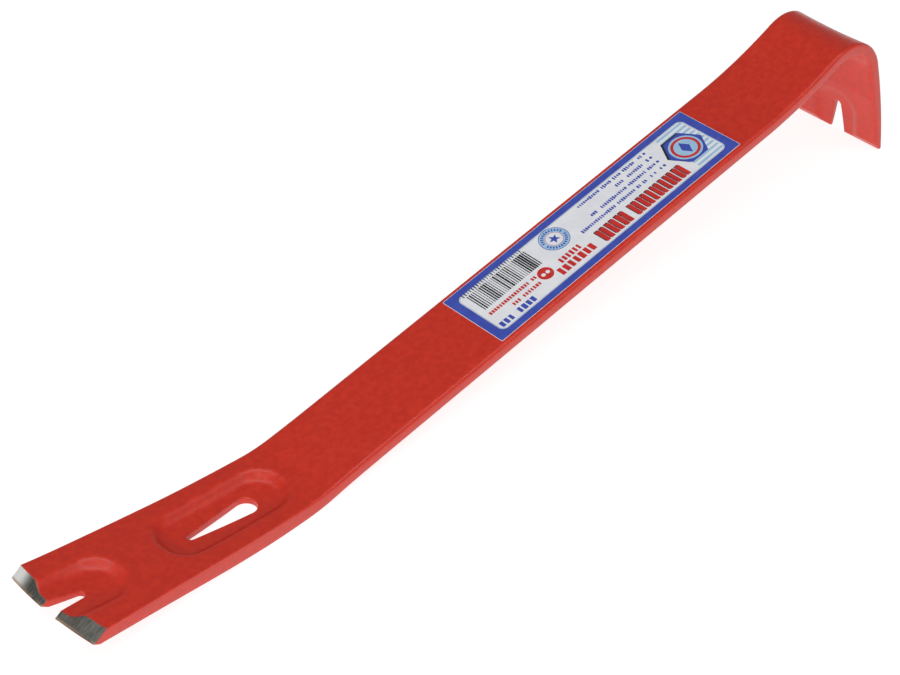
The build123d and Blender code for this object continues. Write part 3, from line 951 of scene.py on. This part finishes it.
    # red disc with a plain mask shape
    mask = (0.263 * length, 0.635 * breadth)
    sheets["red"].prism(disc(*mask, 3.0, 40), top, top + INK)
    for side in (-1.05, 1.05):
        sheets["film"].prism(disc(mask[0] + side, mask[1], 0.8, 20), top, top + 1.6 * INK)
    # two red rows, one blue row
    row(sheets["red"], (0.225 * length, 0.690 * breadth), top, 71, -1.0, Count=11, Pitch=1.25,
        Gap_Share=0.1, Min_Width=0.65, Max_Width=1.0, Min_Height=1.4, Max_Height=1.6)
    row(sheets["red"], (0.232 * length, 0.580 * breadth), top, 72, -1.0, Count=19, Pitch=1.2,
        Gap_Share=0.1, Min_Width=0.65, Max_Width=0.95, Min_Height=1.4, Max_Height=1.6)
    row(sheets["blue"], (0.170 * length, 0.812 * breadth), top, 73, -1.0, Count=8, Pitch=2.15,
        Gap_Share=0.13, Min_Width=1.2, Max_Width=1.7, Min_Height=2.5, Max_Height=2.7)
    return [sheet.piece("label_film" if ink == "film" else "label_print_" + ink)
            for ink, sheet in sheets.items()]


# ===================================== studio and camera =========================================

FLOOR_HALF, FLOOR_GLOW = 6.0, 0.82
WORLD_LIGHT = 0.27
LENS = 92.8
CAMERA_PLACE = (-0.43241, -0.43413, 0.52284)
CAMERA_RIGHT, CAMERA_UP = (0.71786, -0.69604, -0.01401), (0.45636, 0.45526, 0.76451)


def soft_light(name, place, aim, size, power):
    """Softbox at a place, turned to a point; metres and watts."""
    light = bpy.data.lights.new(name, "AREA")
    light.shape = "RECTANGLE"
    light.size, light.size_y = size
    light.energy = power
    made = bpy.data.objects.new(name, light)
    made.location = place
    made.rotation_euler = (Vector(aim) - Vector(place)).to_track_quat("-Z", "Y").to_euler()
    bpy.context.scene.collection.objects.link(made)


def studio():
    """Pale floor, soft lights, pale surroundings and the camera."""
    floor_mesh = bpy.data.meshes.new("bench_top")
    half = FLOOR_HALF
    floor_mesh.from_pydata([(-half, -half, 0), (half, -half, 0), (half, half, 0), (-half, half, 0)],
                           [], [(0, 1, 2, 3)])
    floor = bpy.data.objects.new("bench_top", floor_mesh)
    bpy.context.scene.collection.objects.link(floor)
    material, _, shader = new_material("bench_white")
    shader.inputs["Base Color"].default_value = (0.35, 0.35, 0.35, 1.0)
    shader.inputs["Roughness"].default_value = 0.9
    shader.inputs["Specular IOR Level"].default_value = 0.1
    shader.inputs["Emission Color"].default_value = (1.0, 1.0, 1.0, 1.0)
    shader.inputs["Emission Strength"].default_value = FLOOR_GLOW
    floor_mesh.materials.append(material)
    world = bpy.data.worlds.new("studio")
    world.use_nodes = True
    background = world.node_tree.nodes["Background"]
    background.inputs["Color"].default_value = (1.0, 1.0, 1.0, 1.0)
    background.inputs["Strength"].default_value = WORLD_LIGHT
    bpy.context.scene.world = world
    soft_light("key", (-1.05, -0.75, 0.75), (0.0, 0.0, 0.02), (0.9, 0.9), 11.0)
    soft_light("overhead strip", (-0.12, -0.12, 1.3), (-0.05, -0.05, 0.02), (2.4, 0.4), 7.5)
    bpy.context.scene.view_settings.view_transform = "Standard"

    camera = bpy.data.cameras.new("camera")
    camera.lens, camera.sensor_width = LENS, 36.0
    camera.clip_start, camera.clip_end = 0.05, 20.0
    made = bpy.data.objects.new("camera", camera)
    right, up = Vector(CAMERA_RIGHT), Vector(CAMERA_UP)
    turn = Matrix((right, up, right.cross(up))).transposed()
    made.matrix_world = Matrix.Translation(CAMERA_PLACE) @ turn.to_4x4()
    bpy.context.scene.collection.objects.link(made)
    bpy.context.scene.camera = made


# ============================================ scene ==============================================

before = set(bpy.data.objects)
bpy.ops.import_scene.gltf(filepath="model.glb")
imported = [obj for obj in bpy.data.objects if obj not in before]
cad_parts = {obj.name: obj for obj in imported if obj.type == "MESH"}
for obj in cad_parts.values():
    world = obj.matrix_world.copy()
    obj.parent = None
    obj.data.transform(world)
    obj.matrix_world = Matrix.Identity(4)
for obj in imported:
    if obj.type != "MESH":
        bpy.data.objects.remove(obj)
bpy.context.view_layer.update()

bar = bpy.data.objects.new("enamelled_bar", bar_mesh())
bpy.context.scene.collection.objects.link(bar)
bar.data.materials.append(enamelled_steel())
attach(bar, "root")
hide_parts("forged_bar")

for piece in build_label():
    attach(piece, "root")
    if piece.name == "label_film":
        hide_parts("label")

studio()
